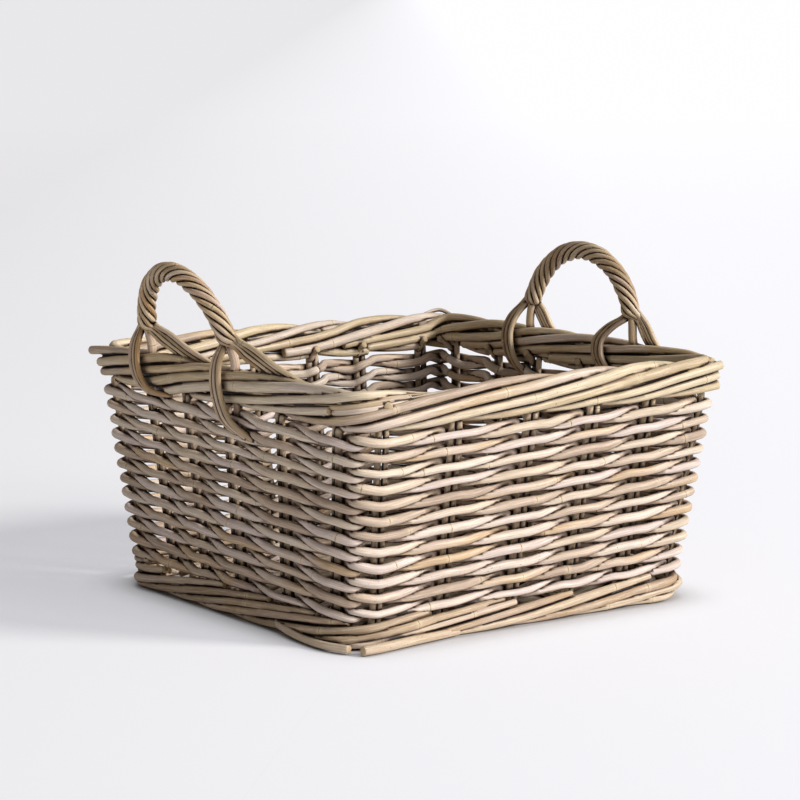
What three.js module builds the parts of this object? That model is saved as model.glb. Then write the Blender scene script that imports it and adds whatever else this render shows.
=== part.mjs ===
// Square rattan basket with flared walls, a rolled border, a foot border and two roped handles.
// Millimetres, +Z up, floor at z = 0, origin under the middle of the basket.
// Front is -Y, the wall with the lower handle is -X.
import * as THREE from 'three';

// Plan of the stake line, measured between the stake centrelines of opposite walls
const floorWidth = 413;
const floorDepth = 394;
const rimWidth = 456;
const rimDepth = 480;
const rimHeight = 262;
const cornerRadius = 20;
const borderCornerRadius = 26;

// Rods and the clearance that rods lying on each other keep
const clearance = 0.3;
const stakeRadius = 4;
const weaverRadius = 4.2;
const borderRodRadius = 4.7;
const footRodRadius = 4.7;
const baseRodRadius = 4;
const handleRodRadius = 4;
const coreRadius = 4.6;

// Walls: paired rows, each of two rods that swap sides between one stake pair and the next
const firstRowHeight = 35;
const rowPitch = 15.8;
const weaverDepth = 10.5;
const cornerTightening = 0.9;
const cornerCrossingOffset = 5;
const cornerWrap = 13;

// Stake pairs on each wall, as shares of the half wall counted anticlockwise seen from above
const frontStakeShares = [-0.87, -0.48, -0.06, 0.3, 0.63];
const rightStakeShares = [-0.57, -0.15, 0.23, 0.53, 0.88];
const backStakeShares = [-0.87, -0.48, -0.19, 0.15, 0.52];
const leftStakeShares = [-0.62, -0.31, 0.02, 0.44, 0.86];

// Rolled border along the rim
const borderRodCount = 7;
const borderTurns = 3;
const borderHalfWidth = 11.4;
const borderHalfHeight = 15.6;

// Foot border that the basket stands on
const footRodCount = 3;
const footTurns = 3;
const footRopeRadius = 6.1;
const footOffset = 10.3;
const footFlat = 0.9;

// Base: stake pairs run across the floor, front to back below, left to right above
const lowerStakeHeight = 16.8;
const floorBendDrop = 7.6;
const floorBendInset = 11;
const baseRodPitch = 12.6;
const baseRodLift = 9.9;
const baseEndInset = 12.6;

// Handles: a core rod bent to an arch, with rods wound round it
const handleRodCount = 4;
const handleTurns = 2;
const handleFootLift = 14;
const handleRise = 89;
const handleTuck = 59;
const handleFootSpread = 5.2;
const handleWindClearance = 0.9;
const leftHandle = { side: -1, middle: 54, halfSpan: 76, lean: 18 };
const rightHandle = { side: 1, middle: -18, halfSpan: 84, lean: -4 };

// Facet counts
const rodSides = 4;
const coreSides = 5;
const wallSteps = 6;
const handleStepsPerTurn = 8;
const coreSteps = 12;

const wallAlong = [[1, 0], [0, 1], [-1, 0], [0, -1]];
const wallOut = [[0, -1], [1, 0], [0, 1], [-1, 0]];
const up = new THREE.Vector3(0, 0, 1);
const weaverCrossing = rowPitch / 4;
const crossingRadius = weaverCrossing - clearance;
const borderHeight = rimHeight - borderHalfHeight - borderRodRadius;
const wallSlope = (rimDepth - floorDepth) / 2 / rimHeight;
const stakeTop = borderHeight - borderHalfHeight - borderRodRadius - clearance - stakeRadius * wallSlope;
const lastRowHeight = stakeTop - weaverCrossing - weaverRadius;
const rowCount = Math.floor((lastRowHeight - firstRowHeight) / rowPitch) + 1;
const upperStakeHeight = lowerStakeHeight + 2 * stakeRadius + clearance;
const footHeight = footRopeRadius + footRodRadius * Math.SQRT1_2 - footFlat;
const handleTopHeight = rimHeight + handleRise;
const handleRodEndHeight = rimHeight - handleTuck;

// Materials, one for each group of rods
function rodMaterial(color) {
  return () => new THREE.MeshStandardMaterial({ color, roughness: 0.72, metalness: 0 });
}
const weaverMaterial = rodMaterial('#c6b39a');
const stakeMaterial = rodMaterial('#a8927a');
const borderMaterial = rodMaterial('#cdb898');
const handleMaterial = rodMaterial('#b39c80');

const basket = new THREE.Group();
basket.name = 'square_basket';

function addRod(name, geometry, material) {
  const mesh = new THREE.Mesh(geometry, material());
  mesh.name = name;
  basket.add(mesh);
}

// Half width and half depth of the stake line at a height
function halfSizes(height) {
  const rise = height / rimHeight;
  return [
    THREE.MathUtils.lerp(floorWidth, rimWidth, rise) / 2,
    THREE.MathUtils.lerp(floorDepth, rimDepth, rise) / 2,
  ];
}

// A point of the wall: place counts walls anticlockwise from the near left corner, offset goes outwards
function wallPoint(place, height, offset, radius = cornerRadius) {
  const wall = ((Math.floor(place) % 4) + 4) % 4;
  const share = 2 * (place - Math.floor(place)) - 1;
  const sizes = halfSizes(height);
  const halfAlong = sizes[wall % 2];
  const halfOut = sizes[1 - (wall % 2)];
  const [alongX, alongY] = wallAlong[wall];
  const [outX, outY] = wallOut[wall];
  const side = Math.sign(share) || 1;
  const toCorner = halfAlong * (1 - Math.abs(share));
  let along = share * halfAlong;
  let out = halfOut + offset;
  if (toCorner < radius) {
    const turn = (Math.PI / 4) * (1 - toCorner / radius);
    along = side * (halfAlong - radius + (radius + offset) * Math.sin(turn));
    out = halfOut - radius + (radius + offset) * Math.cos(turn);
  }
  return new THREE.Vector3(along * alongX + out * outX, along * alongY + out * outY, height);
}

function placeOn(wall, share) {
  return wall + (share + 1) / 2;
}

// A rod swept along points: outline gives the section as (side, lift) pairs round the rod.
// A station may squash the section, and its sideAxis fixes the direction of the section's side.
function sweepRod(stations, outline, closed = false) {
  const count = stations.length;
  const sides = outline.length;
  const positions = [];
  stations.forEach((station, index) => {
    const before = stations[closed ? (index + count - 1) % count : Math.max(index - 1, 0)].point;
    const after = stations[closed ? (index + 1) % count : Math.min(index + 1, count - 1)].point;
    const tangent = after.clone().sub(before).normalize();
    const side = station.sideAxis ? station.sideAxis.clone() : tangent.clone().cross(up);
    side.addScaledVector(tangent, -side.dot(tangent)).normalize();
    const lift = side.clone().cross(tangent).normalize();
    for (const [across, high] of outline) {
      const vertex = station.point.clone();
      vertex.addScaledVector(side, across);
      vertex.addScaledVector(lift, high * (station.squash ?? 1));
      positions.push(vertex.x, vertex.y, vertex.z);
    }
  });
  const triangles = [];
  const rings = closed ? count : count - 1;
  for (let ring = 0; ring < rings; ring += 1) {
    for (let corner = 0; corner < sides; corner += 1) {
      const a = ring * sides + corner;
      const b = ring * sides + ((corner + 1) % sides);
      const c = ((ring + 1) % count) * sides + corner;
      const d = ((ring + 1) % count) * sides + ((corner + 1) % sides);
      triangles.push(a, c, b, b, c, d);
    }
  }
  if (!closed) {
    for (let corner = 1; corner < sides - 1; corner += 1) {
      const last = (count - 1) * sides;
      triangles.push(0, corner, corner + 1);
      triangles.push(last, last + corner + 1, last + corner);
    }
  }
  const geometry = new THREE.BufferGeometry();
  geometry.setAttribute('position', new THREE.Float32BufferAttribute(positions, 3));
  geometry.setIndex(triangles);
  geometry.computeVertexNormals();
  return geometry;
}

// Round section with a corner at the bottom, or with a flat there when turned half a side
function rodSection(radius, sides, turned = 0) {
  return Array.from({ length: sides }, (_, corner) => {
    const angle = (2 * Math.PI * (corner + turned)) / sides - Math.PI / 2;
    return [radius * Math.cos(angle), radius * Math.sin(angle)];
  });
}

// Two rods side by side, drawn as one flat section
const twinSection = [
  [-2 * stakeRadius, 0],
  [-stakeRadius, -stakeRadius],
  [stakeRadius, -stakeRadius],
  [2 * stakeRadius, 0],
  [stakeRadius, stakeRadius],
  [-stakeRadius, stakeRadius],
];

// Stake pairs round the basket, anticlockwise, with one at the right and one at the far left corner
const stakePlaces = [
  ...frontStakeShares.map((share) => placeOn(0, share)),
  1,
  ...rightStakeShares.map((share) => placeOn(1, share)),
  ...backStakeShares.map((share) => placeOn(2, share)),
  3,
  ...leftStakeShares.map((share) => placeOn(3, share)),
];

// One rod of a row: outside the even stakes or outside the odd ones, and crossing its partner between
function weaverStations(row, startsOutside) {
  const height = firstRowHeight + row * rowPitch;
  const stations = [];
  stakePlaces.forEach((place, index) => {
    const outside = (index % 2 === 0) === startsOutside;
    const corner = Number.isInteger(place);
    const distance = corner ? weaverDepth - cornerTightening : weaverDepth;
    const depth = outside ? distance : -distance;
    const wrap = cornerWrap / (2 * halfSizes(height)[0]);
    for (const shift of corner ? [-wrap, 0, wrap] : [0]) {
      stations.push({ point: wallPoint(place + shift, height, depth) });
    }
    const next = stakePlaces[(index + 1) % stakePlaces.length];
    const turnsCorner = Math.floor(next) !== Math.floor(place) && !Number.isInteger(next);
    const unrolled = next < place ? next + 4 : next;
    const middle = turnsCorner ? Math.floor(unrolled) : (place + unrolled) / 2;
    const overTop = outside === (Math.floor(place) % 2 === 0);
    const rise = overTop ? weaverCrossing : -weaverCrossing;
    const offset = turnsCorner ? cornerCrossingOffset : 0;
    const squash = crossingRadius / weaverRadius;
    stations.push({ point: wallPoint(middle, height + rise, offset), squash });
  });
  return stations;
}

function buildWalls() {
  const section = rodSection(weaverRadius, rodSides);
  for (let row = 0; row < rowCount; row += 1) {
    const label = String(row + 1).padStart(2, '0');
    addRod(`weaver_${label}_a`, sweepRod(weaverStations(row, true), section, true), weaverMaterial);
    addRod(`weaver_${label}_b`, sweepRod(weaverStations(row, false), section, true), weaverMaterial);
  }
}

// A stake pair that comes down one wall, crosses the floor and goes up the opposite wall
function floorStakeStations(place, oppositePlace, floorHeight, sideAxis) {
  const bendTop = floorHeight + floorBendDrop;
  const down = [
    wallPoint(place, stakeTop, 0),
    wallPoint(place, bendTop, 0),
    wallPoint(place, floorHeight + floorBendDrop / 4, -floorBendInset / 4),
    wallPoint(place, floorHeight, -floorBendInset),
  ];
  const rise = [
    wallPoint(oppositePlace, floorHeight, -floorBendInset),
    wallPoint(oppositePlace, floorHeight + floorBendDrop / 4, -floorBendInset / 4),
    wallPoint(oppositePlace, bendTop, 0),
    wallPoint(oppositePlace, stakeTop, 0),
  ];
  return [...down, ...rise].map((point) => ({ point, sideAxis }));
}

const acrossX = new THREE.Vector3(1, 0, 0);
const acrossY = new THREE.Vector3(0, 1, 0);
const lowerPairs = frontStakeShares.map((share, index) => [
  placeOn(0, share),
  placeOn(2, backStakeShares[backStakeShares.length - 1 - index]),
]);
const upperPairs = leftStakeShares.map((share, index) => [
  placeOn(3, share),
  placeOn(1, rightStakeShares[rightStakeShares.length - 1 - index]),
]);

function buildStakes() {
  lowerPairs.forEach(([place, opposite], index) => {
    const stations = floorStakeStations(place, opposite, lowerStakeHeight, acrossX);
    addRod(`stake_front_back_${index + 1}`, sweepRod(stations, twinSection), stakeMaterial);
  });
  upperPairs.forEach(([place, opposite], index) => {
    const stations = floorStakeStations(place, opposite, upperStakeHeight, acrossY);
    addRod(`stake_left_right_${index + 1}`, sweepRod(stations, twinSection), stakeMaterial);
  });
  for (const [name, place] of [['stake_corner_right', 1], ['stake_corner_left', 3]]) {
    const cornerAxis = wallPoint(place, 0, 0).normalize().cross(up);
    const stations = [stakeTop, upperStakeHeight + floorBendDrop].map((height) => ({
      point: wallPoint(place, height, 0),
      sideAxis: cornerAxis,
    }));
    addRod(name, sweepRod(stations, twinSection), stakeMaterial);
  }
}

// Places round the basket for a rope: evenly along each wall and three on each corner
function ropePlaces(height, radius) {
  const places = [];
  for (let wall = 0; wall < 4; wall += 1) {
    const cornerShare = radius / halfSizes(height)[wall % 2];
    places.push(wall);
    for (let step = 0; step < wallSteps; step += 1) {
      const share = THREE.MathUtils.lerp(cornerShare - 1, 1 - cornerShare, step / (wallSteps - 1));
      places.push(placeOn(wall, share));
    }
  }
  return places;
}

// One rod of a rope that lies along the walls, wound round the rope's middle
function ropeStations(height, offset, halfWidth, halfHeight, turns, phase, radius) {
  return ropePlaces(height, radius).map((place) => {
    const even = phase - (2 * Math.PI * turns * place) / 4;
    const angle = even + ((halfHeight - halfWidth) / (halfHeight + halfWidth)) * Math.sin(2 * even) / 2;
    const out = offset + halfWidth * Math.sin(angle);
    const point = wallPoint(place, height, out, radius);
    point.z += halfHeight * Math.cos(angle);
    return { point };
  });
}

const borderRods = Array.from({ length: borderRodCount }, (_, rod) => {
  const phase = (2 * Math.PI * rod) / borderRodCount;
  return ropeStations(
    borderHeight, 0, borderHalfWidth, borderHalfHeight, borderTurns, phase, borderCornerRadius,
  );
});

function buildBorders() {
  const section = rodSection(borderRodRadius, rodSides);
  borderRods.forEach((stations, rod) => {
    addRod(`border_rod_${rod + 1}`, sweepRod(stations, section, true), borderMaterial);
  });
  const footSection = rodSection(footRodRadius, rodSides, 0.5);
  for (let rod = 0; rod < footRodCount; rod += 1) {
    const phase = (2 * Math.PI * rod) / footRodCount;
    const stations = ropeStations(
      footHeight, footOffset, footRopeRadius, footRopeRadius, footTurns, phase, borderCornerRadius,
    );
    const geometry = sweepRod(stations, footSection, true);
    const position = geometry.getAttribute('position');
    for (let index = 0; index < position.count; index += 1) {
      position.setZ(index, Math.max(position.getZ(index), 0));
    }
    addRod(`foot_rod_${rod + 1}`, geometry, borderMaterial);
  }
}

// Floor rods: each runs to and fro between two upper stake pairs, over and under the lower pairs
function floorPoint(acrossShare, alongShare, height) {
  const line = (pairs, index) => {
    const [from, to] = pairs[index];
    return [wallPoint(from, height, -floorBendInset), wallPoint(to, height, -floorBendInset)];
  };
  const first = Math.min(Math.floor(alongShare), upperPairs.length - 2);
  const blend = alongShare - first;
  const [lowA, highA] = line(upperPairs, first);
  const [lowB, highB] = line(upperPairs, first + 1);
  const start = lowA.clone().lerp(lowB, blend);
  const end = highA.clone().lerp(highB, blend);
  return start.lerp(end, acrossShare).setZ(height);
}

function crossShare(lowerIndex, alongShare) {
  const [from, to] = lowerPairs[lowerIndex];
  const start = wallPoint(from, lowerStakeHeight, 0);
  const end = wallPoint(to, lowerStakeHeight, 0);
  let share = 0.5;
  for (let pass = 0; pass < 3; pass += 1) {
    const point = floorPoint(share, alongShare, lowerStakeHeight);
    const reach = (point.y - start.y) / (end.y - start.y);
    const lineX = THREE.MathUtils.lerp(start.x, end.x, reach);
    const left = floorPoint(0, alongShare, lowerStakeHeight);
    const right = floorPoint(1, alongShare, lowerStakeHeight);
    share = (lineX - left.x) / (right.x - left.x);
  }
  return share;
}

function buildFloor() {
  const section = rodSection(baseRodRadius, rodSides);
  const floorSpan = 2 * halfSizes(lowerStakeHeight)[0];
  const endShare = (baseEndInset - floorBendInset) / floorSpan;
  for (let bay = 0; bay < upperPairs.length - 1; bay += 1) {
    const bayDepths = [0, 1].map((end) => floorPoint(end, bay, 0).y - floorPoint(end, bay + 1, 0).y);
    const bayDepth = Math.min(...bayDepths);
    const freeDepth = bayDepth - 2 * (2 * stakeRadius + baseRodRadius + 2 * clearance);
    const passes = Math.floor(freeDepth / baseRodPitch) + 1;
    const stations = [];
    for (let pass = 0; pass < passes; pass += 1) {
      const along = bay + 0.5 + ((pass / (passes - 1) - 0.5) * freeDepth) / bayDepth;
      const crossings = lowerPairs.map((_, index) => ({
        share: crossShare(index, along),
        lift: (index + pass) % 2 === 0 ? baseRodLift : -baseRodLift,
      }));
      const run = [
        { share: endShare, lift: crossings[0].lift },
        ...crossings,
        { share: 1 - endShare, lift: crossings[crossings.length - 1].lift },
      ];
      if (pass % 2 === 1) run.reverse();
      for (const { share, lift } of run) {
        stations.push({ point: floorPoint(share, along, lowerStakeHeight + lift) });
      }
    }
    addRod(`floor_rod_${bay + 1}`, sweepRod(stations, section), weaverMaterial);
  }
}

// Handles: the arch stands over the border and leans outwards
function archPoint(handle, share) {
  const turn = Math.PI * share;
  const footHeightOnRim = rimHeight + handleFootLift;
  const rise = Math.sin(turn);
  const height = footHeightOnRim + (handleTopHeight - footHeightOnRim) * rise;
  const out = halfSizes(height)[0] + handle.lean * rise;
  return new THREE.Vector3(handle.side * out, handle.middle - handle.halfSpan * Math.cos(turn), height);
}

function handleFrame(handle, share) {
  const step = 1 / (handleTurns * handleStepsPerTurn * handleRodCount);
  const before = archPoint(handle, Math.max(share - step, 0));
  const after = archPoint(handle, Math.min(share + step, 1));
  const tangent = after.sub(before).normalize();
  const out = new THREE.Vector3(handle.side, 0, 0);
  out.addScaledVector(tangent, -out.dot(tangent)).normalize();
  return { out, across: tangent.clone().cross(out) };
}

function handleRodStations(handle, rod) {
  const woundRadius = coreRadius + handleRodRadius + handleWindClearance;
  const steps = handleTurns * handleStepsPerTurn;
  const startAngle = Math.PI / 4 + (2 * Math.PI * rod) / handleRodCount;
  const stations = [];
  for (let step = 0; step <= steps; step += 1) {
    const share = step / steps;
    const { out, across } = handleFrame(handle, share);
    const angle = startAngle - 2 * Math.PI * handleTurns * share;
    const point = archPoint(handle, share);
    point.addScaledVector(out, woundRadius * Math.cos(angle));
    point.addScaledVector(across, woundRadius * Math.sin(angle));
    stations.push({ point, sideAxis: out });
  }
  return [
    ...handleRodEnd(handle, -1, startAngle).reverse(),
    ...stations,
    ...handleRodEnd(handle, 1, startAngle),
  ];
}

// Points where the border rods on a handle's wall pass a line across that wall
function borderCrossings(side, y) {
  return borderRods.flatMap((stations) => stations.flatMap(({ point }, index) => {
    const next = stations[(index + 1) % stations.length].point;
    const onWall = point.x * side > 0 && next.x * side > 0;
    if (!onWall || (point.y - y) * (next.y - y) > 0) return [];
    return [point.clone().lerp(next, (y - point.y) / (next.y - point.y))];
  }));
}

// The end of a wound rod passes the border on the outside or the inside and lies against it
function handleRodEnd(handle, end, angle) {
  const outside = Math.cos(angle) > 0 ? 1 : -1;
  const spread = Math.sign(Math.sin(angle)) * handleFootSpread * -end * handle.side;
  const y = handle.middle + end * handle.halfSpan + spread;
  const reaches = borderCrossings(handle.side, y).map(
    (point) => outside * (handle.side * point.x - halfSizes(point.z)[0]),
  );
  const past = Math.max(...reaches) + borderRodRadius + handleRodRadius + clearance;
  const sideAxis = new THREE.Vector3(handle.side, 0, 0);
  const upperHeight = borderHeight + borderHalfHeight / 2;
  const lowerHeight = borderHeight - borderHalfHeight / 2;
  return [upperHeight, lowerHeight, handleRodEndHeight].map((height) => ({
    point: new THREE.Vector3(handle.side * (halfSizes(height)[0] + outside * past), y, height),
    sideAxis,
  }));
}

function buildHandle(name, handle) {
  const core = [];
  for (let step = 0; step <= coreSteps; step += 1) {
    core.push({ point: archPoint(handle, step / coreSteps), sideAxis: acrossX });
  }
  const shifts = [-coreRadius, 0, coreRadius];
  const footEnds = [core[0], core[coreSteps]].map(({ point }) => {
    const tops = shifts.flatMap((shift) => borderCrossings(handle.side, point.y + shift));
    const height = Math.max(...tops.map((top) => top.z)) + borderRodRadius + clearance;
    return { point: point.clone().setZ(height), sideAxis: acrossX };
  });
  const stations = [footEnds[0], ...core, footEnds[1]];
  addRod(`${name}_core`, sweepRod(stations, rodSection(coreRadius, coreSides)), handleMaterial);
  for (let rod = 0; rod < handleRodCount; rod += 1) {
    const section = rodSection(handleRodRadius, rodSides);
    addRod(`${name}_rod_${rod + 1}`, sweepRod(handleRodStations(handle, rod), section), handleMaterial);
  }
}

buildWalls();
buildStakes();
buildBorders();
buildFloor();
buildHandle('left_handle', leftHandle);
buildHandle('right_handle', rightHandle);

// The left handle leans out past the border, so the origin lies under the middle of both
const leftReach = halfSizes(handleTopHeight)[0] + leftHandle.lean + coreRadius + 2 * handleRodRadius;
const borderReach = halfSizes(borderHeight)[0] + borderHalfWidth + borderRodRadius;
const rightReach = borderReach + 2 * handleRodRadius + clearance;
basket.position.x = (leftReach - rightReach) / 2;

export default basket;
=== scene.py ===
import math
import random

import bpy
import numpy as np
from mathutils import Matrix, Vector
from mathutils.bvhtree import BVHTree


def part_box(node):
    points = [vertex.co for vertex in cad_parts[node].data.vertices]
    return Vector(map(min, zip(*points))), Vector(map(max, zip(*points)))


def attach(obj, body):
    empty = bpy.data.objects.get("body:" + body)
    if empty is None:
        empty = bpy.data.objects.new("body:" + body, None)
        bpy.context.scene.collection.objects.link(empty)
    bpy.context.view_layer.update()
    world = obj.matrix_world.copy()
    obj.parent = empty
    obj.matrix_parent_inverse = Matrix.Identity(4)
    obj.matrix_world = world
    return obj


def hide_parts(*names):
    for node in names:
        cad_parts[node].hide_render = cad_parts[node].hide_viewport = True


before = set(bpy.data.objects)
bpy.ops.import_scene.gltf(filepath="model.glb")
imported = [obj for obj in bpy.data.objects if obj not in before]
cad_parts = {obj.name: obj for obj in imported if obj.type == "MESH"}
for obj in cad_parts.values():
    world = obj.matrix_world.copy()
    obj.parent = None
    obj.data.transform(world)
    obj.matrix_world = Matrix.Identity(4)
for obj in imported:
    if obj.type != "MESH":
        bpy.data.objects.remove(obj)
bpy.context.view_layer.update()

# The square basket's looks: every rod is bent on its own path, with its own tone, nodes and cut ends.
# Metres, +Z up, front wall towards -Y, lower handle on the -X wall.
MM = 0.001
SEED = 11

# Rod sizes
WEAVER_RADIUS = 4.25 * MM
STAKE_RADIUS = 3.45 * MM
BORDER_RADIUS = 5.1 * MM
FOOT_RADIUS = 4.2 * MM
FLOOR_RADIUS = 3.9 * MM
CORE_RADIUS = 4.6 * MM
STRAND_RADIUS = 2.85 * MM
RADIUS_SPREAD_SHARE = 0.12

# Weave
CORNER_RADIUS = 20 * MM
WEAVER_DEPTH = 8.9 * MM
STAKE_GRIP = 6 * MM
CORNER_GRIP = 11 * MM
CORNER_DEPTH = 4.5 * MM
STAKE_PAIR_GAP = 0.45 * MM
STAKES_PER_WALL = 5
ROW_COUNT = 12

# Mesh density
STEP = 3.2 * MM
ROD_SIDES = 10
NODE_SPACING = (0.11, 0.26)
STAKE_NODE_SPACING = (0.2, 0.4)
TINY = 1e-9

rng = random.Random(SEED)


# Sizes read from the frame
RING_DEPTH = 2.5 * MM
RING_GAP = 20 * MM


def node_points(name):
    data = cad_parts[name].data
    points = np.zeros(len(data.vertices) * 3, np.float32)
    data.vertices.foreach_get("co", points)
    return points.reshape(-1, 3).astype(float)


def ring_centres(points):
    """Centres of a stake's top ring and of the next ring below it."""
    heights = points[:, 2]
    top = points[heights > heights.max() - RING_DEPTH]
    rest = points[heights < heights.max() - RING_GAP]
    low = rest[rest[:, 2] > rest[:, 2].max() - RING_DEPTH]
    return low.mean(0), top.mean(0)


def stake_lines(prefix, axis, side):
    """Ring centres of the stake pairs of one wall."""
    lines = []
    for index in range(STAKES_PER_WALL):
        points = node_points(f"{prefix}_{index + 1}")
        lines.append(ring_centres(points[points[:, axis] * side > 0]))
    return lines


FRONT = stake_lines("stake_front_back", 1, -1)
BACK = stake_lines("stake_front_back", 1, 1)[::-1]
LEFT = stake_lines("stake_left_right", 0, -1)
RIGHT = stake_lines("stake_left_right", 0, 1)[::-1]
LOW_HEIGHT = np.mean([low[2] for low, top in FRONT + BACK + LEFT + RIGHT])
CENTRE_X = (np.mean([top[0] for low, top in LEFT]) + np.mean([top[0] for low, top in RIGHT])) / 2
STAKE_TOP = np.mean([top[2] for low, top in FRONT + BACK + LEFT + RIGHT])


def half_at(lines, axis, centre):
    """Half the distance between two opposite walls, as a function of the height."""
    low = np.mean([abs(low[axis] - centre) for low, top in lines])
    low_z = np.mean([low[2] for low, top in lines])
    top = np.mean([abs(top[axis] - centre) for low, top in lines])
    top_z = np.mean([top[2] for low, top in lines])
    slope = (top - low) / (top_z - low_z)
    return lambda height: low + (height - low_z) * slope


half_x = half_at(LEFT + RIGHT, 0, CENTRE_X)
half_y = half_at(FRONT + BACK, 1, 0)


def shares(lines, axis, sign):
    """Where the stake pairs stand along their wall, from -1 to 1."""
    half, centre = ((half_x, CENTRE_X), (half_y, 0))[axis]
    return [sign * (top[axis] - centre) / half(top[2]) for low, top in lines]


STAKE_PLACES = (
    [(share + 1) / 2 for share in shares(FRONT, 0, 1)]
    + [1.0]
    + [1 + (share + 1) / 2 for share in shares(RIGHT, 1, 1)]
    + [2 + (share + 1) / 2 for share in shares(BACK, 0, -1)]
    + [3.0]
    + [3 + (share + 1) / 2 for share in shares(LEFT, 1, -1)]
)
STAKE_COUNT = len(STAKE_PLACES)

# Indices in STAKE_PLACES, which run anticlockwise from the near left corner. The corners at the near left
# and the far right have no stakes. CORNERS gives the wall that ends at each of the other two.
RIGHT_CORNER, RIGHT_FIRST, BACK_LAST, LEFT_CORNER, LEFT_LAST = 5, 6, 15, 16, 21
CORNERS = {RIGHT_CORNER: 0, LEFT_CORNER: 2}

ROW_BOXES = [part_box(f"weaver_{row + 1:02d}_a") for row in range(ROW_COUNT)]
ROW_HEIGHTS = [(low.z + high.z) / 2 for low, high in ROW_BOXES]
ROW_PITCH = (ROW_HEIGHTS[-1] - ROW_HEIGHTS[0]) / (ROW_COUNT - 1)
BORDER_LOW = min(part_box(f"border_rod_{rod + 1}")[0].z for rod in range(7))
BORDER_HIGH = max(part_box(f"border_rod_{rod + 1}")[1].z for rod in range(7))
BORDER_MIDDLE = (BORDER_LOW + BORDER_HIGH) / 2
BORDER_HALF_HEIGHT = (BORDER_HIGH - BORDER_LOW) / 2 - BORDER_RADIUS
BORDER_OUTER = max(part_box("border_rod_1")[1].y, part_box("border_rod_2")[1].y)
BORDER_HALF_WIDTH = BORDER_OUTER - half_y(BORDER_MIDDLE) - BORDER_RADIUS

# Wall coordinates: place counts walls anticlockwise from the near left corner, offset goes outwards
WALL_ALONG = np.array([[1, 0], [0, 1], [-1, 0], [0, -1]], float)
WALL_OUT = np.array([[0, -1], [1, 0], [0, 1], [-1, 0]], float)


def wall_point(place, height, offset, radius=CORNER_RADIUS):
    """A point on the wall at a place and a height, moved outwards, with the corners rounded."""
    wall = int(math.floor(place)) % 4
    share = 2 * (place - math.floor(place)) - 1
    sizes = (half_x(height), half_y(height))
    half_along, half_out = sizes[wall % 2], sizes[1 - wall % 2]
    side = 1 if share >= 0 else -1
    to_corner = half_along * (1 - abs(share))
    along, out = share * half_along, half_out + offset
    if to_corner < radius:
        turn = (math.pi / 4) * (1 - to_corner / radius)
        along = side * (half_along - radius + (radius + offset) * math.sin(turn))
        out = half_out - radius + (radius + offset) * math.cos(turn)
    x, y = along * WALL_ALONG[wall] + out * WALL_OUT[wall]
    return np.array([CENTRE_X + x, y, height])


def stake_place(index):
    """Place of a stake pair by a running index, which may be fractional and past either end."""
    base = math.floor(index)
    share = index - base
    first = STAKE_PLACES[base % STAKE_COUNT] + 4 * (base // STAKE_COUNT)
    second = STAKE_PLACES[(base + 1) % STAKE_COUNT] + 4 * ((base + 1) // STAKE_COUNT)
    return first + (second - first) * share


def scatter(limit):
    """A random length of up to so many millimetres either way."""
    return rng.uniform(-limit, limit) * MM


def unit(vector):
    return vector / np.linalg.norm(vector)


def blend(first, second, start, stop, t):
    return (stop - t) / (stop - start) * first + (t - start) / (stop - start) * second


def smooth_path(points, step=STEP):
    """A smooth curve through a few points, in steps of about the same length."""
    points = [np.asarray(p, float) for p in points]
    padded = [2 * points[0] - points[1]] + points + [2 * points[-1] - points[-2]]
    out = []
    for index in range(1, len(padded) - 2):
        p0, p1, p2, p3 = padded[index - 1:index + 3]
        t1 = math.sqrt(np.linalg.norm(p1 - p0)) + TINY
        t2 = t1 + math.sqrt(np.linalg.norm(p2 - p1)) + TINY
        t3 = t2 + math.sqrt(np.linalg.norm(p3 - p2)) + TINY
        count = max(2, int(math.ceil(np.linalg.norm(p2 - p1) / step)))
        t = np.linspace(t1, t2, count, endpoint=False)[:, None]
        a1 = blend(p0, p1, 0, t1, t)
        a2 = blend(p1, p2, t1, t2, t)
        a3 = blend(p2, p3, t2, t3, t)
        b1 = blend(a1, a2, 0, t2, t)
        b2 = blend(a2, a3, t1, t3, t)
        out.append(blend(b1, b2, t1, t2, t))
    out.append(points[-1][None])
    return np.concatenate(out)


# Rods
CUT_RIM_SHARE = 0.86
CUT_RIM_RISE = 0.5 * MM
CUT_MIDDLE_RISE = 0.6 * MM
PATTERN_SPREAD = 40
FAR_FROM_NODES = 1.0
SAME_POINT = 1e-6
NODE_CLEAR = 0.3 * MM
START_WAY = [0.3, 0.2, 0.93]
BUILT = []


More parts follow.
